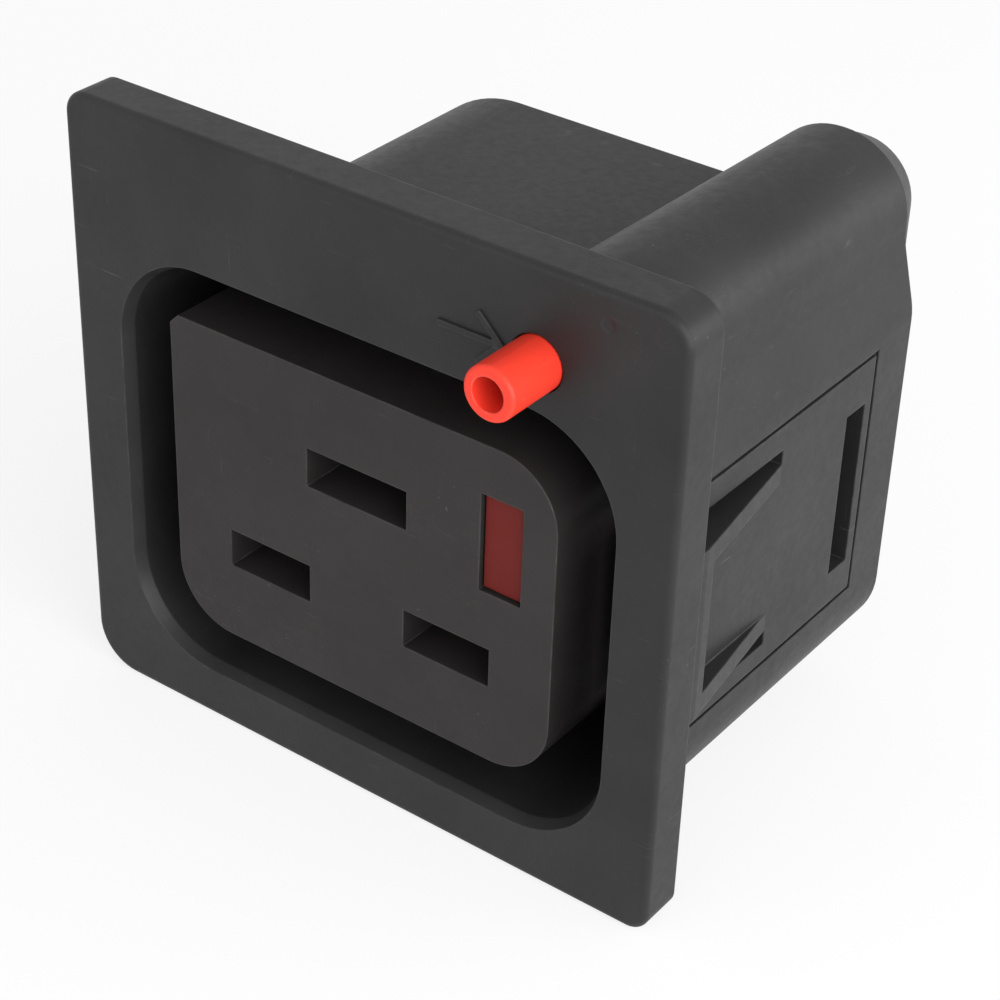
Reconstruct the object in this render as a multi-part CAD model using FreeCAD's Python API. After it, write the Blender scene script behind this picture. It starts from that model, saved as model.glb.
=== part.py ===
import FreeCAD, Part
import math
import os

# Locking panel socket outlet, modelled in millimetres.
# +X is right as seen from the front, +Y goes into the panel, +Z is up.
# The origin is the middle of the bezel on its seating face, which lies against the panel.

os.makedirs("parts", exist_ok=True)

# Bezel flange
BEZEL_W = 42.2
BEZEL_H = 39.5
BEZEL_T = 3.0
BEZEL_BOTTOM_LEFT_R = 3.0
BEZEL_TOP_LEFT_R = 1.4
BEZEL_TOP_RIGHT_R = 2.0
BEZEL_BOTTOM_RIGHT_R = 1.3
BEZEL_EDGE_R = 0.45
RIM_W = 1.1
HOLLOW_DEPTH = 1.5

# Body shell behind the panel
BODY_HALF_W = 18.5
BODY_TOP = 11.95
BODY_BOTTOM = -17.15
BODY_LENGTH = 26.3
BODY_TOP_LEFT_R = 8.0
BODY_BOTTOM_R = 5.3
SIDE_LEAN_START = 7.2
SIDE_LEAN_END = 11.5
SIDE_LEAN_R = 5.0
REAR_WALL_SIDE = 2.0
REAR_WALL_TOP = 1.6
REAR_WALL_BOTTOM = 1.3
FIT_GAP = 0.1

# Push rod tower on the body's top, with its top sloping down towards the rear
TOWER_LEFT = 7.8
TOWER_RIGHT = 17.4
TOWER_TOP = 17.85
TOWER_REAR_TOP = 17.2
TOWER_TOP_R = 4.7
TOWER_FOOT_R = 0.5

# Mating opening and core
CORE_Z = -2.45
OPENING_W = 35.1
OPENING_H = 27.7
OPENING_R = 6.2
OPENING_BEVEL = 0.35
OPENING_BEVEL_DEPTH = 0.8
GROOVE_FLOOR = 14.0
CORE_W = 27.5
CORE_H = 20.8
CORE_R = 4.0
CORE_CHAMFER = 0.6
CORE_RECESS = 0.2

# Pin slots in the core
SLOT_H = 2.55
LINE_SLOT_W = 6.1
EARTH_SLOT_W = 7.2
LINE_PITCH = 13.0
EARTH_RISE = 8.0
SLOT_WALL = 3.3

# Contacts
TAB_W = 6.3
TAB_T = 0.8
TAB_REACH = 9.7
TAB_HOLE_R = 1.2
TAB_HOLE_SETBACK = 4.9
TAB_TIP_CHAMFER = 0.6
LEAF_T = 0.6
LEAF_GRIP = 1.9
LEAF_FRONT = 1.2
LEAF_THROAT = 3.2
LEAF_STRAIGHT = 6.0
LEAF_MARGIN = 0.15
LEAD_IN = 0.35
POCKET_SIDE_GAP = 0.2
POCKET_HEIGHT_GAP = 1.15
SHOULDER_W = 0.6
SHOULDER_OFFSET = 0.3
SHOULDER_LENGTH = 0.8
EARTH_SET_BACK = 4.6
JOG_SETBACK = 5.3
JOG_LENGTH = 2.0
EARTH_JOG = 1.0
LEAF_JOIN_SETBACK = 7.3
LEAF_JOIN_LENGTH = 2.5
LEAF_REAR_SETBACK = 0.6

# Rear plate
PLATE_T = 2.0
PLATE_SLOT_W = 8.0
LINE_PLATE_SLOT_BELOW = 0.9
LINE_PLATE_SLOT_ABOVE = 2.5
EARTH_PLATE_SLOT_W = 7.7
EARTH_PLATE_SLOT_TOP = 4.65
EARTH_PLATE_SLOT_BOTTOM = -1.4
KEY_NOTCH_LEFT = 6.1
KEY_NOTCH_TOP = 4.2

# Rear cap over the release mechanism
SEAM = 0.12
CAP_WALL = 1.0
CAP_BOTTOM = -1.05
CAP_LENGTH = 2.9
CAP_END_LEFT = 8.8
CAP_END_RIGHT = 16.1
CAP_END_TOP = 15.7
CAP_CORNER_R = 0.6
CAP_END_R = 3.5

# Release button, bridge and lock bar
ROD_X = 12.0
ROD_Z = 14.15
ROD_R = 1.6
ROD_CLEARANCE = 0.08
ROD_FRONT = -7.1
ROD_DIMPLE_R = 1.0
ROD_DIMPLE_DEPTH = 4.5
ROD_EDGE_R = 0.25
GUIDE_FRONT_END = 3.0
GUIDE_REAR_LENGTH = 4.4
TOWER_BORE_R = 2.3
BRIDGE_SETBACK = 4.1
BRIDGE_T = 1.9
BRIDGE_LEFT = 9.5
BRIDGE_BOTTOM = 0.6
BRIDGE_TOP = 15.45
BRIDGE_TOP_LEFT_R = 3.0
BRIDGE_TOP_RIGHT_R = 1.0
BRIDGE_FOOT_R = 0.5
BRIDGE_ROOM_GAP = 0.3
WINDOW_X = 10.1
WINDOW_Z = 1.7
WINDOW_W = 2.85
WINDOW_H = 6.3
LOCK_SIDE_GAP = 0.14
LOCK_RECESS = 0.3
LOCK_HEAD_END = 7.0
LOCK_STEM_X = 10.4
LOCK_STEM_W = 1.8
LOCK_STEM_H = 3.4
LOCK_STEM_Z = 2.6
STEM_GAP = 0.25
HEAD_WELL_END = 11.0
LOCK_TRAVEL = 2.5

# Clamp plate that the lock bar carries round the earth pin's path
CLAMP_T = 0.8
CLAMP_Y = 2.0
CLAMP_H = 5.0
CLAMP_LEFT = -5.0
CLAMP_TILT = 8.0
CLAMP_SEAT = 0.8
CLAMP_PIN_GAP = 0.1
CLAMP_ROOM_GAP = 0.3

# Return spring between bridge and cap
SPRING_X = 11.9
SPRING_Z = 8.4
SPRING_R = 1.4
SPRING_WIRE_R = 0.17
SPRING_WIRE_SIDES = 8
SPRING_TURNS = 3.0
PEG_R = 1.0
BRIDGE_PEG = 0.7
CAP_PEG = 0.6

# Snap tongues in both side walls
TONGUE_FRONT = 1.6
TONGUE_ROOT = 12.2
TONGUE_TOP = 3.25
TONGUE_BOTTOM = -8.15
TONGUE_SLIT = 1.0
TONGUE_END_SLIT = 0.6
TONGUE_RISE = 1.45
TONGUE_FRAME = 1.25
TONGUE_LEDGE = 1.7
TONGUE_SINK = 0.4

# Latch slots and outline grooves in both side walls
LATCH_SETBACK = 4.7
LATCH_LENGTH = 2.1
LATCH_TOP = 2.95
LATCH_BOTTOM = -8.15
LATCH_GAP = 0.15
LATCH_REACH = 1.0
OUTLINE_FRONT = 4.3
OUTLINE_SETBACK = 3.7
OUTLINE_TOP = 5.85
OUTLINE_BOTTOM = -10.75
OUTLINE_W = 0.3
OUTLINE_DEPTH = 0.25

# Locating fin on the body's top
FIN_X = -11.45
FIN_T = 1.3
FIN_TOP = 16.95
FIN_REAR = 3.5

CUT_PAST = 1.0


def vec(x, y, z):
    return FreeCAD.Vector(x, y, z)


def outline(corners, y):
    """Closed wire in the XZ plane at y, from (x, z, corner radius) going round."""
    count = len(corners)
    starts = []
    ends = []
    middles = []
    for i in range(count):
        x, z, r = corners[i]
        before = vec(corners[i - 1][0] - x, 0, corners[i - 1][1] - z).normalize()
        after = vec(corners[(i + 1) % count][0] - x, 0, corners[(i + 1) % count][1] - z).normalize()
        half = before.getAngle(after) / 2.0
        here = vec(x, y, z)
        if r <= 0:
            starts.append(here)
            ends.append(here)
            middles.append(None)
            continue
        reach = r / math.tan(half)
        towards = (before + after).normalize()
        starts.append(here + before * reach)
        ends.append(here + after * reach)
        middles.append(here + towards * (r / math.sin(half) - r))
    edges = []
    for i in range(count):
        if middles[i] is not None:
            edges.append(Part.Arc(starts[i], middles[i], ends[i]).toShape())
        nxt = starts[(i + 1) % count]
        if ends[i].distanceToPoint(nxt) > 1e-6:
            edges.append(Part.LineSegment(ends[i], nxt).toShape())
    return Part.Wire(edges)


def prism(corners, y0, y1):
    return Part.Face(outline(corners, y0)).extrude(vec(0, y1 - y0, 0))


def taper(corners0, y0, corners1, y1):
    return Part.makeLoft([outline(corners0, y0), outline(corners1, y1)], True, True)


def rect(x0, x1, z0, z1, r_bottom_right=0, r_top_right=0, r_top_left=0, r_bottom_left=0):
    return [(x1, z0, r_bottom_right), (x1, z1, r_top_right), (x0, z1, r_top_left), (x0, z0, r_bottom_left)]


def round_rect(cx, cz, w, h, r):
    return rect(cx - w / 2, cx + w / 2, cz - h / 2, cz + h / 2, r, r, r, r)


def drawn_in(corners, gap):
    """The same four-cornered outline with every side moved in by a gap."""
    mid_x = (corners[0][0] + corners[2][0]) / 2
    mid_z = (corners[0][1] + corners[2][1]) / 2
    inner = []
    for x, z, r in corners:
        new_x = x - math.copysign(gap, x - mid_x)
        new_z = z - math.copysign(gap, z - mid_z)
        inner.append((new_x, new_z, max(r - gap, 0)))
    return inner


def box(x0, x1, y0, y1, z0, z1):
    return Part.makeBox(x1 - x0, y1 - y0, z1 - z0, vec(x0, y0, z0))


def rod(x, z, r, y0, y1):
    return Part.makeCylinder(r, y1 - y0, vec(x, y0, z), vec(0, 1, 0))


def side_profile(points, x0, x1):
    """Solid with a closed (y, z) outline, drawn out from x0 to x1."""
    wire = Part.makePolygon([vec(x0, y, z) for y, z in points + points[:1]])
    return Part.Face(wire).extrude(vec(x1 - x0, 0, 0))


def plan_profile(points, z0, z1):
    """Solid with a closed (x, y) outline, drawn up from z0 to z1."""
    wire = Part.makePolygon([vec(x, y, z0) for x, y in points + points[:1]])
    return Part.Face(wire).extrude(vec(0, 0, z1 - z0))


def strip(line, thickness, x0, x1):
    """Bent metal strip whose centre line is a run of (y, z) points."""
    upper = []
    lower = []
    last = len(line) - 1
    for i, (y, z) in enumerate(line):
        a = line[max(i - 1, 0)]
        b = line[min(i + 1, last)]
        c = line[i]
        slopes = []
        for p, q in ((a, c), (c, b)):
            length = math.hypot(q[0] - p[0], q[1] - p[1])
            if length > 0:
                slopes.append(((q[0] - p[0]) / length, (q[1] - p[1]) / length))
        dy = sum(s[0] for s in slopes) / len(slopes)
        dz = sum(s[1] for s in slopes) / len(slopes)
        scale = thickness / 2 / (dy * dy + dz * dz)
        upper.append((y - dz * scale, z + dy * scale))
        lower.append((y + dz * scale, z - dy * scale))
    return side_profile(upper + lower[::-1], x0, x1)


def mirrored(shape):
    return shape.mirror(vec(0, 0, 0), vec(1, 0, 0))


def save(name, shape):
    shape.exportStep("parts/" + name + ".step")


# Sizes that follow from the ones above
bezel_front = -BEZEL_T
hollow_floor = -HOLLOW_DEPTH
core_front = bezel_front + CORE_RECESS
plate_front = BODY_LENGTH - PLATE_T
rear_half_w = BODY_HALF_W - REAR_WALL_SIDE
rear_top = BODY_TOP - REAR_WALL_TOP
rear_bottom = BODY_BOTTOM + REAR_WALL_BOTTOM
rear_top_left_r = BODY_TOP_LEFT_R - REAR_WALL_SIDE
rear_bottom_r = BODY_BOTTOM_R - REAR_WALL_BOTTOM
rear_top_right_r = REAR_WALL_SIDE
groove_w = OPENING_W - 2 * OPENING_BEVEL
groove_h = OPENING_H - 2 * OPENING_BEVEL
groove_r = OPENING_R - OPENING_BEVEL
line_z = CORE_Z - EARTH_RISE / 2
earth_z = CORE_Z + EARTH_RISE / 2
rod_bore_r = ROD_R + ROD_CLEARANCE
lock_front = core_front + LOCK_RECESS

# Places that follow the body's rear end
cap_end = BODY_LENGTH + CAP_LENGTH
cap_inner_end = cap_end - CAP_WALL
bridge_front = BODY_LENGTH - BRIDGE_SETBACK
bridge_rear = bridge_front + BRIDGE_T
bridge_room_front = bridge_front - BRIDGE_ROOM_GAP
guide_rear_start = bridge_room_front - GUIDE_REAR_LENGTH
tab_end = BODY_LENGTH + TAB_REACH
shoulder_y = BODY_LENGTH + SHOULDER_OFFSET
jog_end = BODY_LENGTH - JOG_SETBACK
jog_start = jog_end - JOG_LENGTH
leaf_rear = BODY_LENGTH - LEAF_REAR_SETBACK
leaf_join_end = BODY_LENGTH - LEAF_JOIN_SETBACK
leaf_join_start = leaf_join_end - LEAF_JOIN_LENGTH
latch_rear = BODY_LENGTH - LATCH_SETBACK
latch_front = latch_rear - LATCH_LENGTH
outline_rear = BODY_LENGTH - OUTLINE_SETBACK


def body_outline(tower_top):
    """Outline of the shell with the tower on it, whose top changes along the body."""
    return [
        (BODY_HALF_W, BODY_BOTTOM, BODY_BOTTOM_R),
        (BODY_HALF_W, SIDE_LEAN_START, SIDE_LEAN_R),
        (TOWER_RIGHT, SIDE_LEAN_END, SIDE_LEAN_R),
        (TOWER_RIGHT, tower_top, TOWER_TOP_R),
        (TOWER_LEFT, tower_top, TOWER_TOP_R),
        (TOWER_LEFT, BODY_TOP, TOWER_FOOT_R),
        (-BODY_HALF_W, BODY_TOP, BODY_TOP_LEFT_R),
        (-BODY_HALF_W, BODY_BOTTOM, BODY_BOTTOM_R),
    ]


def rear_room(gap):
    """Outline of the shell's rear room, drawn in by a gap for what sits in it."""
    return rect(
        -rear_half_w + gap,
        rear_half_w - gap,
        rear_bottom + gap,
        rear_top - gap,
        rear_bottom_r,
        rear_top_right_r,
        rear_top_left_r,
        rear_bottom_r,
    )


def snap_tongue():
    """Raised frame on the right hand tongue, with its pocket."""
    wedge = plan_profile(
        [
            (BODY_HALF_W - TONGUE_SINK, TONGUE_FRONT),
            (BODY_HALF_W + TONGUE_RISE, TONGUE_FRONT),
            (BODY_HALF_W + TONGUE_RISE, TONGUE_FRONT + TONGUE_LEDGE / 2),
            (BODY_HALF_W, TONGUE_ROOT),
            (BODY_HALF_W - TONGUE_SINK, TONGUE_ROOT),
        ],
        TONGUE_BOTTOM,
        TONGUE_TOP,
    )
    pocket = box(
        BODY_HALF_W,
        BODY_HALF_W + TONGUE_RISE + CUT_PAST,
        TONGUE_FRONT + TONGUE_LEDGE,
        TONGUE_ROOT,
        TONGUE_BOTTOM + TONGUE_FRAME,
        TONGUE_TOP - TONGUE_FRAME,
    )
    return wedge.cut(pocket)


def side_cuts():
    """Slits round the right hand tongue, its latch slot and the outline groove."""
    inside = groove_w / 2 - CUT_PAST
    outside = BODY_HALF_W + TONGUE_RISE + CUT_PAST
    slit_front = TONGUE_FRONT - TONGUE_END_SLIT
    cuts = [
        box(inside, outside, slit_front, TONGUE_ROOT, TONGUE_TOP, TONGUE_TOP + TONGUE_SLIT),
        box(inside, outside, slit_front, TONGUE_ROOT, TONGUE_BOTTOM - TONGUE_SLIT, TONGUE_BOTTOM),
        box(inside, outside, slit_front, TONGUE_FRONT, TONGUE_BOTTOM, TONGUE_TOP),
        box(rear_half_w - CUT_PAST, outside, latch_front, latch_rear, LATCH_BOTTOM, LATCH_TOP),
    ]
    groove_in = BODY_HALF_W - OUTLINE_DEPTH
    for z in (OUTLINE_TOP, OUTLINE_BOTTOM):
        cuts.append(box(groove_in, outside, OUTLINE_FRONT, outline_rear, z, z + OUTLINE_W))
    cuts.append(
        box(groove_in, outside, outline_rear - OUTLINE_W, outline_rear, OUTLINE_BOTTOM, OUTLINE_TOP + OUTLINE_W)
    )
    return cuts


# The rear cap lies just inside the tower's outline, and the room behind it is drawn in by its wall
cap_outline = rect(
    TOWER_LEFT + SEAM,
    TOWER_RIGHT - SEAM,
    CAP_BOTTOM,
    TOWER_REAR_TOP - SEAM,
    CAP_CORNER_R,
    TOWER_TOP_R - SEAM,
    TOWER_TOP_R - SEAM,
    CAP_CORNER_R,
)
cap_end_outline = rect(
    CAP_END_LEFT, CAP_END_RIGHT, CAP_BOTTOM, CAP_END_TOP, CAP_CORNER_R, CAP_END_R, CAP_END_R, CAP_CORNER_R
)
cap_room_outline = drawn_in(cap_outline, CAP_WALL)
bridge_room = prism(cap_room_outline, bridge_room_front, BODY_LENGTH + CUT_PAST)

# Housing: bezel, shell, tower, fin and snap tongues in one moulding
bezel_outline = rect(
    -BEZEL_W / 2,
    BEZEL_W / 2,
    -BEZEL_H / 2,
    BEZEL_H / 2,
    BEZEL_BOTTOM_RIGHT_R,
    BEZEL_TOP_RIGHT_R,
    BEZEL_TOP_LEFT_R,
    BEZEL_BOTTOM_LEFT_R,
)
bezel = prism(bezel_outline, bezel_front, 0)
front_edges = []
for edge in bezel.Edges:
    if abs(edge.BoundBox.YMin - bezel_front) < 1e-6 and abs(edge.BoundBox.YMax - bezel_front) < 1e-6:
        front_edges.append(edge)
bezel = bezel.makeFillet(BEZEL_EDGE_R, front_edges)
bezel = bezel.cut(prism(drawn_in(bezel_outline, RIM_W), hollow_floor, CUT_PAST))
shell = taper(body_outline(TOWER_TOP), hollow_floor, body_outline(TOWER_REAR_TOP), BODY_LENGTH)
fin = box(FIN_X - FIN_T / 2, FIN_X + FIN_T / 2, hollow_floor, FIN_REAR, BODY_TOP - REAR_WALL_TOP / 2, FIN_TOP)
housing = bezel.fuse([shell, fin, snap_tongue(), mirrored(snap_tongue())]).removeSplitter()

bevel = taper(
    round_rect(0, CORE_Z, OPENING_W, OPENING_H, OPENING_R),
    bezel_front,
    round_rect(0, CORE_Z, groove_w, groove_h, groove_r),
    bezel_front + OPENING_BEVEL_DEPTH,
)
groove = prism(round_rect(0, CORE_Z, groove_w, groove_h, groove_r), bezel_front, GROOVE_FLOOR)
rear_bore = prism(rear_room(0), GROOVE_FLOOR, BODY_LENGTH + CUT_PAST)
rod_bore = rod(ROD_X, ROD_Z, rod_bore_r, bezel_front - CUT_PAST, BODY_LENGTH)
tower_bore = rod(ROD_X, ROD_Z, TOWER_BORE_R, GUIDE_FRONT_END, guide_rear_start)
cuts = [bevel, groove, rear_bore, bridge_room, rod_bore, tower_bore]
cuts += side_cuts()
cuts += [mirrored(cut) for cut in side_cuts()]
housing = housing.cut(cuts)
save("housing", housing)


def pocket(cx, cz, w):
    """Contact chamber with its pin slot, open to the rear."""
    chamber_w = w + 2 * POCKET_SIDE_GAP
    reach = LEAF_GRIP / 2 + TAB_T + POCKET_HEIGHT_GAP
    half_h = SLOT_H / 2
    entry = box(cx - w / 2, cx + w / 2, core_front - CUT_PAST, core_front + SLOT_WALL, cz - half_h, cz + half_h)
    chamber = box(
        cx - chamber_w / 2, cx + chamber_w / 2, core_front + SLOT_WALL, BODY_LENGTH, cz - reach, cz + reach
    )
    return entry.fuse(chamber)


# Core: the mating block and the carrier behind the groove in one moulding
core_top = CORE_Z + CORE_H / 2
core_outline = [
    (CORE_W / 2, CORE_Z - CORE_H / 2, CORE_R),
    (CORE_W / 2, core_top, CORE_R),
    (CORE_CHAMFER - CORE_W / 2, core_top, 0),
    (-CORE_W / 2, core_top - CORE_CHAMFER, 0),
    (-CORE_W / 2, CORE_Z - CORE_H / 2, CORE_R),
]
core = prism(core_outline, core_front, GROOVE_FLOOR + CUT_PAST)
carrier = prism(rear_room(FIT_GAP), GROOVE_FLOOR, plate_front)
latch = box(
    rear_half_w - CUT_PAST,
    rear_half_w + LATCH_REACH,
    latch_front + LATCH_GAP,
    latch_rear - LATCH_GAP,
    LATCH_BOTTOM + LATCH_GAP,
    LATCH_TOP - LATCH_GAP,
)
core = core.fuse([carrier, latch, mirrored(latch)]).removeSplitter()
lock_well = box(
    WINDOW_X - WINDOW_W / 2,
    WINDOW_X + WINDOW_W / 2,
    core_front - CUT_PAST,
    HEAD_WELL_END,
    WINDOW_Z - WINDOW_H / 2,
    WINDOW_Z + WINDOW_H / 2,
)
stem_well = box(
    LOCK_STEM_X - LOCK_STEM_W / 2 - STEM_GAP,
    LOCK_STEM_X + LOCK_STEM_W / 2 + STEM_GAP,
    HEAD_WELL_END,
    BODY_LENGTH,
    LOCK_STEM_Z - LOCK_STEM_H / 2 - STEM_GAP,
    LOCK_STEM_Z + LOCK_STEM_H / 2 + STEM_GAP,
)
core = core.cut(
    [
        pocket(-LINE_PITCH / 2, line_z, LINE_SLOT_W),
        pocket(LINE_PITCH / 2, line_z, LINE_SLOT_W),
        pocket(0, earth_z, EARTH_SLOT_W),
        lock_well,
        stem_well,
        bridge_room,
    ]
)
clamp_reach = CLAMP_H / 2 * math.sin(math.radians(CLAMP_TILT)) + CLAMP_T / 2
clamp_room = box(
    CLAMP_LEFT - CLAMP_ROOM_GAP,
    WINDOW_X - WINDOW_W / 2,
    core_front + SLOT_WALL,
    CLAMP_Y + clamp_reach + LOCK_TRAVEL + CLAMP_ROOM_GAP,
    earth_z - CLAMP_H / 2 - CLAMP_ROOM_GAP,
    earth_z + CLAMP_H / 2 + CLAMP_ROOM_GAP,
)
core = core.cut(clamp_room)
save("core", core)

# Rear plate with the slots for the terminal tabs
plate = prism(rear_room(FIT_GAP), plate_front, BODY_LENGTH)
line_tab_z = line_z - LEAF_GRIP / 2 - TAB_T / 2
earth_leaf_z = earth_z + LEAF_GRIP / 2 + TAB_T / 2
earth_tab_z = earth_leaf_z + EARTH_JOG
plate_cuts = [
    bridge_room,
    box(
        -EARTH_PLATE_SLOT_W / 2,
        EARTH_PLATE_SLOT_W / 2,
        plate_front - CUT_PAST,
        BODY_LENGTH + CUT_PAST,
        EARTH_PLATE_SLOT_BOTTOM,
        EARTH_PLATE_SLOT_TOP,
    ),
    box(
        KEY_NOTCH_LEFT,
        TOWER_LEFT,
        plate_front - CUT_PAST,
        BODY_LENGTH + CUT_PAST,
        CAP_BOTTOM - SEAM,
        KEY_NOTCH_TOP,
    ),
]
for side in (-1, 1):
    cx = side * LINE_PITCH / 2
    plate_cuts.append(
        box(
            cx - PLATE_SLOT_W / 2,
            cx + PLATE_SLOT_W / 2,
            plate_front - CUT_PAST,
            BODY_LENGTH + CUT_PAST,
            line_tab_z - LINE_PLATE_SLOT_BELOW,
            line_tab_z + LINE_PLATE_SLOT_ABOVE,
        )
    )
plate = plate.cut(plate_cuts)
save("rear_plate", plate)


def tab_contact(cx, line, slot_w, tab_z, tab_start):
    """Lower or upper leaf that runs out through the rear plate as a terminal tab."""
    leaf_w = slot_w - 2 * LEAF_MARGIN
    leaf = strip(line, TAB_T, cx - leaf_w / 2, cx + leaf_w / 2)
    root = slot_w / 2 + POCKET_SIDE_GAP
    half = TAB_W / 2
    wide = half + SHOULDER_W
    points = [
        (cx - root, tab_start),
        (cx + root, tab_start),
        (cx + root, plate_front),
        (cx + half, plate_front),
        (cx + half, shoulder_y),
        (cx + wide, shoulder_y),
        (cx + wide, shoulder_y + SHOULDER_LENGTH / 2),
        (cx + half, shoulder_y + SHOULDER_LENGTH),
        (cx + half, tab_end - TAB_TIP_CHAMFER),
        (cx + half - TAB_TIP_CHAMFER, tab_end),
        (cx - half + TAB_TIP_CHAMFER, tab_end),
        (cx - half, tab_end - TAB_TIP_CHAMFER),
        (cx - half, shoulder_y + SHOULDER_LENGTH),
        (cx - wide, shoulder_y + SHOULDER_LENGTH / 2),
        (cx - wide, shoulder_y),
        (cx - half, shoulder_y),
        (cx - half, plate_front),
        (cx - root, plate_front),
    ]
    tab = plan_profile(points, tab_z - TAB_T / 2, tab_z + TAB_T / 2)
    tip_edges = []
    for edge in tab.Edges:
        if edge.BoundBox.YMin > tab_end - TAB_TIP_CHAMFER - 1e-6 and edge.BoundBox.ZLength < 1e-6:
            tip_edges.append(edge)
    tab = tab.makeChamfer(TAB_T / 4, tip_edges)
    hole_foot = vec(cx, tab_end - TAB_HOLE_SETBACK, tab_z - TAB_T)
    hole = Part.makeCylinder(TAB_HOLE_R, 2 * TAB_T, hole_foot, vec(0, 0, 1))
    return leaf.fuse(tab).cut(hole).removeSplitter()


def leaf_line(z, towards_pin, rear_points, set_back=0):
    """Centre line of a leaf: flared mouth, throat that grips the pin, straight run."""
    return [
        (LEAF_FRONT + set_back, z - towards_pin * LEAD_IN),
        (LEAF_THROAT + set_back, z + towards_pin * LEAD_IN / 2),
        (LEAF_STRAIGHT + set_back, z),
    ] + rear_points


# Line and neutral contacts: the lower leaf carries the tab, the upper leaf lies on it at the rear
line_leaf_w = LINE_SLOT_W - 2 * LEAF_MARGIN
line_upper_z = line_z + LEAF_GRIP / 2 + LEAF_T / 2
line_join_z = line_tab_z + TAB_T / 2 + LEAF_T / 2
for name, side in (("line", -1), ("neutral", 1)):
    cx = side * LINE_PITCH / 2
    lower = leaf_line(line_tab_z, 1, [(jog_end, line_tab_z)])
    save("contact_" + name, tab_contact(cx, lower, LINE_SLOT_W, line_tab_z, jog_end))
    upper = leaf_line(
        line_upper_z,
        -1,
        [(leaf_join_start, line_upper_z), (leaf_join_end, line_join_z), (leaf_rear, line_join_z)],
    )
    save("leaf_" + name, strip(upper, LEAF_T, cx - line_leaf_w / 2, cx + line_leaf_w / 2))

# Earth contact: the upper leaf carries the tab, the lower leaf meets it from below
earth_leaf_w = EARTH_SLOT_W - 2 * LEAF_MARGIN
earth_lower_z = earth_z - LEAF_GRIP / 2 - LEAF_T / 2
earth_join_z = earth_leaf_z - TAB_T / 2 - LEAF_T / 2
upper = leaf_line(earth_leaf_z, -1, [(jog_start, earth_leaf_z), (jog_end, earth_tab_z)], EARTH_SET_BACK)
upper.append((jog_end + TAB_T, earth_tab_z))
save("contact_earth", tab_contact(0, upper, EARTH_SLOT_W, earth_tab_z, jog_end))
lower = leaf_line(
    earth_lower_z,
    1,
    [
        (leaf_join_start - 3 * LEAF_T, earth_lower_z),
        (leaf_join_start, earth_join_z),
        (jog_start - LEAF_T, earth_join_z),
    ],
    EARTH_SET_BACK,
)
save("leaf_earth", strip(lower, LEAF_T, -earth_leaf_w / 2, earth_leaf_w / 2))

# Rear cap: cover over the release bridge, seated on the body's rear and drawn in towards its own rear face
cap = taper(cap_outline, BODY_LENGTH, cap_end_outline, cap_end)
cap_hollow = taper(cap_room_outline, BODY_LENGTH, drawn_in(cap_end_outline, CAP_WALL), cap_inner_end)
cap_peg = rod(SPRING_X, SPRING_Z, PEG_R, cap_inner_end - CAP_PEG, cap_inner_end + CAP_WALL / 2)
save("tower_cap", cap.cut(cap_hollow).fuse(cap_peg).removeSplitter())

# Release button: the rod that runs through the tower, with a blind bore in its face
button = rod(ROD_X, ROD_Z, ROD_R, ROD_FRONT, bridge_front)
end_edges = [edge for edge in button.Edges if edge.BoundBox.YMax < ROD_FRONT + 1e-6]
button = button.makeFillet(ROD_EDGE_R, end_edges)
button = button.cut(rod(ROD_X, ROD_Z, ROD_DIMPLE_R, ROD_FRONT - CUT_PAST, ROD_FRONT + ROD_DIMPLE_DEPTH))
save("release_button", button)

# Release bridge: joins the rod to the lock bar behind the body
bridge_outline = rect(
    BRIDGE_LEFT,
    ROD_X + ROD_R,
    BRIDGE_BOTTOM,
    BRIDGE_TOP,
    BRIDGE_FOOT_R,
    BRIDGE_TOP_RIGHT_R,
    BRIDGE_TOP_LEFT_R,
    BRIDGE_FOOT_R,
)
bridge_peg = rod(SPRING_X, SPRING_Z, PEG_R, bridge_rear - BRIDGE_T / 2, bridge_rear + BRIDGE_PEG)
save("release_bridge", prism(bridge_outline, bridge_front, bridge_rear).fuse(bridge_peg).removeSplitter())

# Lock bar: the head that shows in the core's window and the stem back to the bridge
head = box(
    WINDOW_X - WINDOW_W / 2 + LOCK_SIDE_GAP,
    WINDOW_X + WINDOW_W / 2 - LOCK_SIDE_GAP,
    lock_front,
    LOCK_HEAD_END,
    WINDOW_Z - WINDOW_H / 2 + LOCK_SIDE_GAP,
    WINDOW_Z + WINDOW_H / 2 - LOCK_SIDE_GAP,
)
stem = box(
    LOCK_STEM_X - LOCK_STEM_W / 2,
    LOCK_STEM_X + LOCK_STEM_W / 2,
    LOCK_HEAD_END,
    bridge_front,
    LOCK_STEM_Z - LOCK_STEM_H / 2,
    LOCK_STEM_Z + LOCK_STEM_H / 2,
)

# Clamp plate: let into the side of the lock bar's head, with a slot that grips the earth pin
clamp_right = WINDOW_X - WINDOW_W / 2 + LOCK_SIDE_GAP + CLAMP_SEAT
clamp = box(
    CLAMP_LEFT,
    clamp_right,
    CLAMP_Y - CLAMP_T / 2,
    CLAMP_Y + CLAMP_T / 2,
    earth_z - CLAMP_H / 2,
    earth_z + CLAMP_H / 2,
)
clamp.rotate(vec(0, CLAMP_Y, earth_z), vec(1, 0, 0), CLAMP_TILT)
save("lock_bar", head.fuse(stem).removeSplitter().cut(clamp))
pin_half_w = EARTH_SLOT_W / 2 + CLAMP_PIN_GAP
pin_half_h = SLOT_H / 2 + CLAMP_PIN_GAP
pin_path = box(
    -pin_half_w, pin_half_w, CLAMP_Y - CLAMP_H, CLAMP_Y + CLAMP_H, earth_z - pin_half_h, earth_z + pin_half_h
)
save("lock_clamp", clamp.cut(pin_path))

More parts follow.
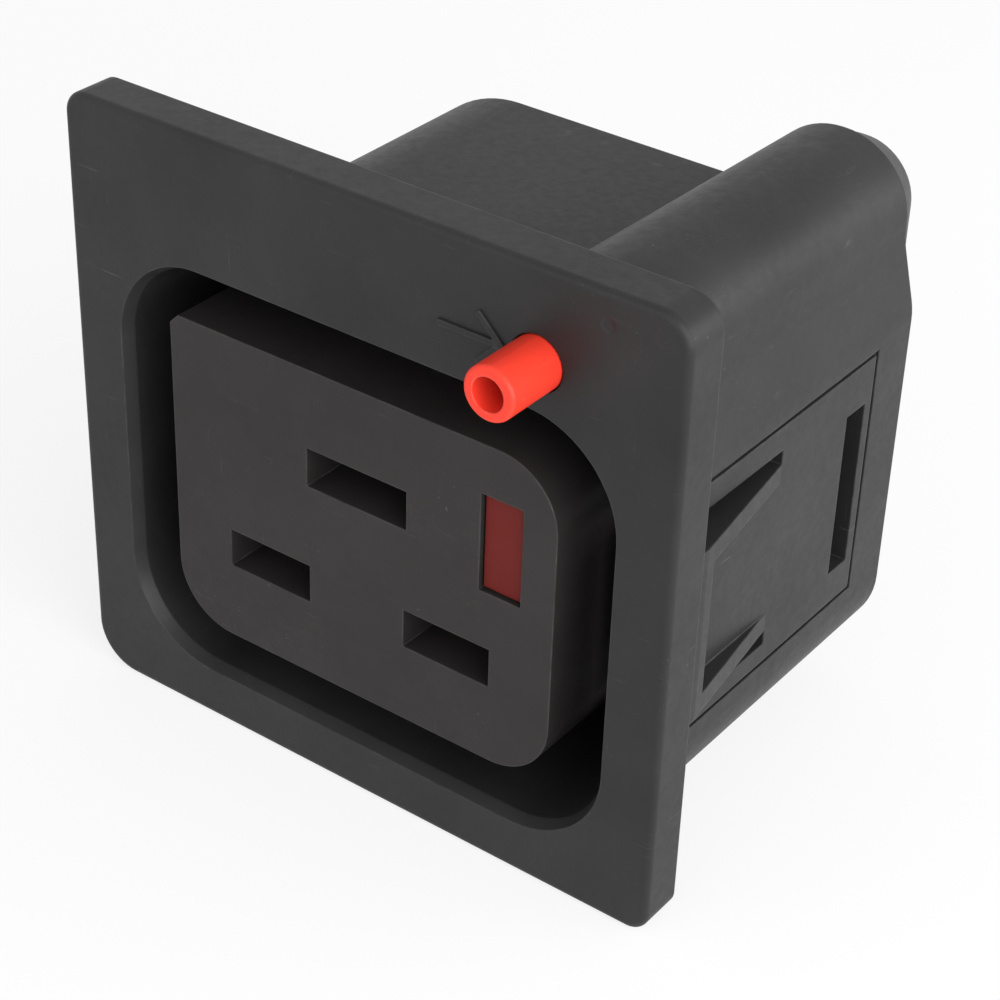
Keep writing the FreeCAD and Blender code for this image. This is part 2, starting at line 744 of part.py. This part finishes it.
# Return spring: pushes the bridge forward from the cap's rear wall
spring_start = bridge_rear + SPRING_WIRE_R
spring_end = cap_inner_end - SPRING_WIRE_R
spring_length = spring_end - spring_start
helix = Part.makeHelix(spring_length / SPRING_TURNS, spring_length, SPRING_R)
wire_points = []
for i in range(SPRING_WIRE_SIDES + 1):
    turn = 2 * math.pi * i / SPRING_WIRE_SIDES
    wire_points.append(vec(SPRING_R + SPRING_WIRE_R * math.cos(turn), 0, SPRING_WIRE_R * math.sin(turn)))
profile = Part.makePolygon(wire_points)
coil = Part.Wire(helix.Edges).makePipeShell([profile], True, True)
coil.rotate(vec(0, 0, 0), vec(1, 0, 0), -90)
coil.translate(vec(SPRING_X, spring_start, SPRING_Z))
save("return_spring", coil)
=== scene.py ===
import math

import bmesh
import bpy
from mathutils import Matrix, Vector


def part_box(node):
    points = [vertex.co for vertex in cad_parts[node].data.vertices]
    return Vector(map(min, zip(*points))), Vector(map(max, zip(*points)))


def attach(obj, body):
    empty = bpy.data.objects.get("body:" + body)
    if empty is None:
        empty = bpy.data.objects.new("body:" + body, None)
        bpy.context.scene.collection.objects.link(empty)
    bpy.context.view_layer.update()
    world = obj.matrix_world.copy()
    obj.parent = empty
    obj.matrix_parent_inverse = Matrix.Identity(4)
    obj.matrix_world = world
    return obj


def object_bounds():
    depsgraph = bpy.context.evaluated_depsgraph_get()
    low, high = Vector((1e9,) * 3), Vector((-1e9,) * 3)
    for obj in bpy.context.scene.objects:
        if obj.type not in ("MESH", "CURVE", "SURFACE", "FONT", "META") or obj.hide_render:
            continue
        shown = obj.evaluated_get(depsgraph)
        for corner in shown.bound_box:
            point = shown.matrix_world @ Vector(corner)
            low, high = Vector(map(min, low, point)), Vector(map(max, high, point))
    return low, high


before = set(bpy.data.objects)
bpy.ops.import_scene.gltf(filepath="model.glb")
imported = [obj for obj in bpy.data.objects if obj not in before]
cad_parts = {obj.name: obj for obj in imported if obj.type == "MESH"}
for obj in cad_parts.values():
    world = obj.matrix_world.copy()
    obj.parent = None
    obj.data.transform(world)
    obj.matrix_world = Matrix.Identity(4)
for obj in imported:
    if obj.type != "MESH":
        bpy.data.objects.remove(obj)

# Locking panel socket: looks, marks, light and camera.
# Lengths are in metres, and MM turns millimetres into them.
MM = 0.001
CAD_LO, CAD_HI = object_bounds()
BEZEL_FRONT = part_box("housing")[0].y
PLATE_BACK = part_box("rear_plate")[1].y
FLOOR_Z = CAD_LO.z

# Camera of the photograph, fitted to the slots and the straight edges of the front view
CAM_AZIMUTH = 35.58
CAM_ELEVATION = 32.97
CAM_ROLL = 2.09
CAM_DISTANCE = 143.30 * MM
CAM_RIGHT = 8.30 * MM
CAM_UP = 2.83 * MM
CAM_FOCAL_SHARE = 2.52866
FIT_ORIGIN = Vector((0.0, -3.0, -2.45)) * MM
SENSOR = 36.0
CLIP = (0.01, 20.0)


# Materials


class Nodes:
    """Short way to make and join the nodes of one material or of the world."""

    def __init__(self, owner):
        self.owner = owner
        owner.use_nodes = True
        self.tree = owner.node_tree
        self.tree.nodes.clear()

    def add(self, kind, inputs=None, **settings):
        node = self.tree.nodes.new(kind)
        for key, value in settings.items():
            setattr(node, key, value)
        for key, value in (inputs or {}).items():
            self.put(node.inputs[key], value)
        return node

    def put(self, socket, value):
        if isinstance(value, bpy.types.NodeSocket):
            self.tree.links.new(value, socket)
        else:
            socket.default_value = value

    def place(self, scale=(1.0, 1.0, 1.0), turn=(0.0, 0.0, 0.0)):
        """Point on the object in millimetres, stretched and turned for streaks."""
        coords = self.add("ShaderNodeTexCoord").outputs["Object"]
        size = [s / MM for s in scale]
        angles = [math.radians(a) for a in turn]
        mapping = self.add("ShaderNodeMapping", {"Vector": coords, "Scale": size, "Rotation": angles})
        return mapping.outputs["Vector"]

    def noise(self, where, scale, detail=3.0, rough=0.55):
        inputs = {"Vector": where, "Scale": scale, "Detail": detail, "Roughness": rough}
        return self.add("ShaderNodeTexNoise", inputs).outputs["Fac"]

    def ramp(self, value, low, high, out_low=0.0, out_high=1.0):
        inputs = {"Value": value, "From Min": low, "From Max": high, "To Min": out_low, "To Max": out_high}
        return self.add("ShaderNodeMapRange", inputs).outputs["Result"]

    def patches(self, where, scale, detail, start, full, rough=0.55):
        """Share that grows from 0 to 1 where the noise rises from start to full."""
        return self.ramp(self.noise(where, scale, detail, rough), start, full)

    def math(self, kind, a, b=0.0):
        node = self.add("ShaderNodeMath", operation=kind)
        self.put(node.inputs[0], a)
        self.put(node.inputs[1], b)
        return node.outputs[0]

    def mix(self, share, a, b):
        node = self.add("ShaderNodeMix", data_type="RGBA")
        self.put(node.inputs["Factor"], share)
        self.put(node.inputs[6], a)
        self.put(node.inputs[7], b)
        return node.outputs[2]

    def over(self, colour, cover, share, strength):
        """Colour with another laid over it by a share, up to the given strength."""
        return self.mix(self.math("MULTIPLY", share, strength), colour, cover)

    def soft_edge(self, radius):
        """Normal that rounds sharp edges a little, and how near an edge the point is."""
        bevel = self.add("ShaderNodeBevel", {"Radius": radius}, samples=6).outputs["Normal"]
        flat = self.add("ShaderNodeNewGeometry").outputs["Normal"]
        dot = self.add("ShaderNodeVectorMath", {0: bevel, 1: flat}, operation="DOT_PRODUCT")
        return bevel, self.ramp(dot.outputs["Value"], 0.99, 0.86)

    def bump(self, height, strength, depth, normal=None):
        inputs = {"Height": height, "Strength": strength, "Distance": depth}
        if normal is not None:
            inputs["Normal"] = normal
        return self.add("ShaderNodeBump", inputs).outputs["Normal"]

    def finish(self, inputs):
        shader = self.add("ShaderNodeBsdfPrincipled", inputs).outputs["BSDF"]
        self.add("ShaderNodeOutputMaterial", {"Surface": shader})
        return self.owner

    def backdrop(self, share, lit, shown, output):
        """Lights the scene as one shader, and shows camera and mirror rays the other by a share."""
        rays = self.add("ShaderNodeLightPath").outputs
        mirrored = self.math("MAXIMUM", rays["Is Glossy Ray"], rays["Is Transmission Ray"])
        seen = self.math("MULTIPLY", self.math("MAXIMUM", rays["Is Camera Ray"], mirrored), share)
        mixed = self.add("ShaderNodeMixShader", {"Fac": seen, 1: lit, 2: shown})
        self.add(output, {"Surface": mixed.outputs[0]})


def rgba(r, g, b):
    return (r, g, b, 1.0)


WHITE = rgba(1.0, 1.0, 1.0)
SCRATCH_GREY = rgba(0.50, 0.50, 0.50)
RUBBED_TIN = rgba(0.92, 0.92, 0.92)
MOULDED_EDGE = 0.16 * MM
METAL_EDGE = 0.10 * MM
GRAIN_DEPTH = 0.03 * MM
ROLLING_DEPTH = 0.012 * MM
DISH_DEPTH = 0.12 * MM
# How strongly each kind of wear covers the colour
SCUFF_COVER = 0.7
PICK_COVER = 0.55
SPECK_COVER = 0.4
CLOUD_COVER = 0.55
SCRATCH_COVER = 0.2
EDGE_COVER = 0.5


def moulded(name, dark, light, wear_and_edge_highlight, dust, roughness, grain=1.0, shine=0.24, dimple=None):
    """Moulded plastic: eroded grain, flow variation, fine scuffs, dust, and edges rubbed paler, partly as
    a painted edge highlight.
    """
    n = Nodes(bpy.data.materials.new(name))
    here = n.place()
    flow = n.patches(here, 0.11, 3.0, 0.3, 0.7)
    grain_fine = n.noise(here, 5.5, 4.0, 0.65)
    grain_wide = n.noise(here, 1.6, 3.0)
    scuff_a = n.patches(n.place((0.25, 0.25, 5.5), (0.0, 24.0, 12.0)), 1.0, 4.0, 0.66, 0.76)
    scuff_b = n.patches(n.place((5.0, 0.3, 0.3), (0.0, -33.0, 20.0)), 1.0, 4.0, 0.68, 0.78)
    handled = n.patches(here, 0.35, 2.0, 0.45, 0.62)
    scuffs = n.math("MULTIPLY", n.math("MAXIMUM", scuff_a, scuff_b), handled)
    specks = n.patches(here, 2.3, 1.0, 0.80, 0.84)
    bevel, edge = n.soft_edge(MOULDED_EDGE)
    # Paler edges: partly rubbed wear, partly a painted highlight along the edges, in the worn colour.
    rubbed_and_highlit_edges = n.math("MULTIPLY", edge, n.ramp(n.noise(here, 0.9, 4.0), 0.36, 0.62, 0.2, 0.85))
    clump = n.patches(here, 0.30, 2.0, 0.56, 0.66)
    picks = n.math("MULTIPLY", n.patches(here, 7.0, 3.0, 0.60, 0.68, 0.7), clump)
    colour = n.mix(flow, dark, light)
    colour = n.over(colour, wear_and_edge_highlight, scuffs, SCUFF_COVER)
    colour = n.over(colour, wear_and_edge_highlight, picks, PICK_COVER)
    # Lays on the paler edges, which are partly a painted edge highlight.
    colour = n.mix(rubbed_and_highlit_edges, colour, wear_and_edge_highlight)
    colour = n.over(colour, dust, specks, SPECK_COVER)
    rough = n.ramp(grain_wide, 0.25, 0.75, roughness - 0.05, roughness + 0.06)
    rough = n.math("SUBTRACT", rough, n.math("MULTIPLY", scuffs, 0.08))
    height = n.math("ADD", grain_fine, n.math("MULTIPLY", grain_wide, 0.6))
    normal = n.bump(height, 0.32 * grain, GRAIN_DEPTH, bevel)
    if dimple:
        centre, radius = dimple
        away = n.add("ShaderNodeVectorMath", {0: here, 1: centre}, operation="DISTANCE")
        dish = n.ramp(away.outputs["Value"], 0.55 * radius, radius)
        normal = n.bump(dish, 0.5, DISH_DEPTH, normal)
    return n.finish(
        {"Base Color": colour, "Roughness": rough, "Normal": normal, "Specular IOR Level": shine}
    )


def tinned(name, bright, dull, base_rough):
    """Tinned sheet metal: faint rolling lines along its length, cloudy tin, nicks and scratches."""
    n = Nodes(bpy.data.materials.new(name))
    here = n.place()
    lines = n.noise(n.place((14.0, 0.5, 14.0)), 1.0, 3.0, 0.5)
    cross = n.patches(n.place((0.7, 9.0, 9.0), (0.0, 0.0, 31.0)), 1.0, 2.0, 0.68, 0.74)
    other = n.patches(n.place((8.0, 0.8, 8.0), (0.0, 0.0, -23.0)), 1.0, 2.0, 0.68, 0.74)
    cloud = n.patches(here, 0.7, 5.0, 0.36, 0.66, 0.65)
    nicks = n.math("MULTIPLY", n.patches(here, 4.5, 2.0, 0.68, 0.78), 0.5)
    bevel, edge = n.soft_edge(METAL_EDGE)
    scratches = n.math("MAXIMUM", n.math("MAXIMUM", cross, other), nicks)
    colour = n.over(bright, dull, cloud, CLOUD_COVER)
    colour = n.over(colour, SCRATCH_GREY, scratches, SCRATCH_COVER)
    colour = n.over(colour, RUBBED_TIN, edge, EDGE_COVER)
    rough = n.ramp(cloud, 0.0, 1.0, base_rough - 0.06, base_rough + 0.08)
    rough = n.math("ADD", rough, n.ramp(lines, 0.3, 0.7, -0.02, 0.04))
    rough = n.math("ADD", rough, n.math("MULTIPLY", scratches, 0.10))
    height = n.math("SUBTRACT", n.math("MULTIPLY", lines, 0.35), n.math("MULTIPLY", scratches, 0.3))
    normal = n.bump(height, 0.12, ROLLING_DEPTH, bevel)
    return n.finish({"Base Color": colour, "Roughness": rough, "Normal": normal, "Metallic": 1.0})


# Small dish left by the mould's gate on the bezel: its middle and its radius, in millimetres
GATE_MARK = ((16.25, BEZEL_FRONT / MM, 17.85), 0.5)
# Each worn colour below also colours the painted highlight along the edges.
black_body = moulded(
    "black_moulding",
    dark=rgba(0.0138, 0.0136, 0.0138),
    light=rgba(0.0206, 0.0204, 0.0206),
    wear_and_edge_highlight=rgba(0.062, 0.061, 0.060),
    dust=rgba(0.12, 0.118, 0.115),
    roughness=0.47,
    dimple=GATE_MARK,
)
black_core = moulded(
    "black_core",
    dark=rgba(0.0152, 0.0135, 0.0133),
    light=rgba(0.0218, 0.0194, 0.0190),
    wear_and_edge_highlight=rgba(0.066, 0.062, 0.060),
    dust=rgba(0.12, 0.115, 0.11),
    roughness=0.48,
    grain=0.8,
)
red_button = moulded(
    "red_button",
    dark=rgba(0.72, 0.036, 0.020),
    light=rgba(0.84, 0.054, 0.027),
    wear_and_edge_highlight=rgba(0.88, 0.13, 0.080),
    dust=rgba(0.80, 0.30, 0.22),
    roughness=0.40,
    grain=0.7,
)
red_inner = moulded(
    "red_inner",
    dark=rgba(0.092, 0.0090, 0.0070),
    light=rgba(0.122, 0.0120, 0.0092),
    wear_and_edge_highlight=rgba(0.19, 0.04, 0.034),
    dust=rgba(0.24, 0.12, 0.10),
    roughness=0.50,
    grain=0.6,
    shine=0.12,
)
tin = tinned("tinned_metal", rgba(0.82, 0.82, 0.80), rgba(0.60, 0.61, 0.62), 0.30)
spring_steel = tinned("spring_metal", rgba(0.66, 0.65, 0.62), rgba(0.46, 0.46, 0.45), 0.32)

FINISH = {
    "housing": black_body,
    "tower_cap": black_body,
    "core": black_core,
    "rear_plate": black_core,
    "release_button": red_button,
    "release_bridge": red_inner,
    "lock_bar": red_inner,
    "contact_line": tin,
    "contact_neutral": tin,
    "contact_earth": tin,
    "leaf_line": spring_steel,
    "leaf_neutral": spring_steel,
    "leaf_earth": spring_steel,
    "lock_clamp": spring_steel,
    "return_spring": spring_steel,
}
for node_name, finish in FINISH.items():
    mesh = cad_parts[node_name].data
    mesh.materials.clear()
    mesh.materials.append(finish)


# Marks

# Shares of a mark's height. Each stroke is a step lower than the last, so no two tops share a plane.
STROKE_STEP = 0.07
STROKE_BEVEL = 0.25


def raised_strokes(name, strokes, width, y_face, height, body, material):
    """Raised moulded lines on a face that looks along Y. Strokes, width and height are in millimetres."""
    bm = bmesh.new()
    rise = height
    for points in strokes:
        for (xa, za), (xb, zb) in zip(points[:-1], points[1:]):
            length = math.hypot(xb - xa, zb - za)
            turn = math.atan2(zb - za, xb - xa)
            made = bmesh.ops.create_cube(bm, size=1.0)
            size = Matrix.Diagonal(((length + width) * MM, 2 * rise * MM, width * MM, 1.0))
            spin = Matrix.Rotation(-turn, 4, "Y")
            move = Matrix.Translation(Vector(((xa + xb) / 2 * MM, y_face, (za + zb) / 2 * MM)))
            bmesh.ops.transform(bm, matrix=move @ spin @ size, verts=made["verts"])
            rise -= STROKE_STEP * height
    mesh = bpy.data.meshes.new(name)
    bm.to_mesh(mesh)
    bm.free()
    mesh.materials.append(material)
    obj = bpy.data.objects.new(name, mesh)
    bpy.context.scene.collection.objects.link(obj)
    bevel = obj.modifiers.new("soft", "BEVEL")
    bevel.width = STROKE_BEVEL * height * MM
    bevel.segments = 2
    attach(obj, body)


ARROW = [
    [(5.9, 14.4), (9.6, 14.4)],
    [(8.4, 15.75), (9.8, 14.4), (8.4, 13.05)],
]
raised_strokes("push_arrow", ARROW, 0.38, BEZEL_FRONT, 0.16, "socket", black_body)
EARTH_SIGN = [
    [(-8.2, 7.6), (-8.2, 6.3)],
    [(-9.7, 6.3), (-6.7, 6.3)],
    [(-9.2, 5.6), (-7.2, 5.6)],
    [(-8.7, 4.9), (-7.7, 4.9)],
]
raised_strokes("earth_sign", EARTH_SIGN, 0.26, PLATE_BACK, 0.12, "socket", black_core)


# Light, floor and camera

MIDDLE = Vector((0.0, 0.012, 0.0))
# Place, width and height, and power in watts
LAMPS = {
    "key": ((0.44, -0.22, 0.22), (0.52, 0.40), 2.7),
    "side_rim": ((0.50, 0.14, 0.12), (0.90, 0.24), 2.6),
    "front_fill": ((-0.10, -0.46, 0.18), (0.44, 0.34), 0.55),
}
for lamp_name, (place, size, power) in LAMPS.items():
    data = bpy.data.lights.new(lamp_name, "AREA")
    data.shape = "RECTANGLE"
    data.size, data.size_y = size
    data.energy = power
    lamp = bpy.data.objects.new(lamp_name, data)
    bpy.context.scene.collection.objects.link(lamp)
    lamp.location = Vector(place)
    lamp.rotation_euler = (MIDDLE - lamp.location).to_track_quat("-Z", "Y").to_euler()

WORLD_LIGHT = 0.55
WORLD_SEEN = 1.0
world = bpy.data.worlds.new("studio")
bpy.context.scene.world = world
wn = Nodes(world)
lit = wn.add("ShaderNodeBackground", {"Color": WHITE, "Strength": WORLD_LIGHT}).outputs[0]
shown = wn.add("ShaderNodeBackground", {"Color": WHITE, "Strength": WORLD_SEEN}).outputs[0]
wn.backdrop(1.0, lit, shown, "ShaderNodeOutputWorld")

FLOOR_HALF = 3.0
FLOOR_WHITE = 0.76
PAPER = rgba(0.93, 0.93, 0.93)
floor_mesh = bpy.data.meshes.new("floor")
floor_mesh.from_pydata(
    [(x * FLOOR_HALF, y * FLOOR_HALF, 0.0) for x, y in ((-1, -1), (1, -1), (1, 1), (-1, 1))],
    [],
    [(0, 1, 2, 3)],
)
floor = bpy.data.objects.new("floor", floor_mesh)
floor.location.z = FLOOR_Z
bpy.context.scene.collection.objects.link(floor)
fm = Nodes(bpy.data.materials.new("floor"))
paper = fm.add("ShaderNodeBsdfDiffuse", {"Color": PAPER}).outputs["BSDF"]
glow = fm.add("ShaderNodeEmission", {"Color": WHITE, "Strength": 1.0}).outputs["Emission"]
fm.backdrop(FLOOR_WHITE, paper, glow, "ShaderNodeOutputMaterial")
floor_mesh.materials.append(fm.owner)

azimuth = math.radians(CAM_AZIMUTH)
elevation = math.radians(CAM_ELEVATION)
roll = math.radians(CAM_ROLL)
back = Vector(
    (
        math.sin(azimuth) * math.cos(elevation),
        -math.cos(azimuth) * math.cos(elevation),
        math.sin(elevation),
    )
)
level = Vector((0.0, 0.0, 1.0)).cross(back).normalized()
upright = back.cross(level)
right = math.cos(roll) * level + math.sin(roll) * upright
up = -math.sin(roll) * level + math.cos(roll) * upright
camera_data = bpy.data.cameras.new("camera")
camera_data.sensor_width = SENSOR
camera_data.lens = SENSOR * CAM_FOCAL_SHARE
camera_data.clip_start, camera_data.clip_end = CLIP
camera = bpy.data.objects.new("camera", camera_data)
bpy.context.scene.collection.objects.link(camera)
turned = Matrix((right, up, back)).transposed().to_4x4()
spot = FIT_ORIGIN + CAM_RIGHT * right + CAM_UP * up + CAM_DISTANCE * back
camera.matrix_world = Matrix.Translation(spot) @ turned
bpy.context.scene.camera = camera

bpy.context.scene.view_settings.view_transform = "Standard"

bpy.context.view_layer.update()
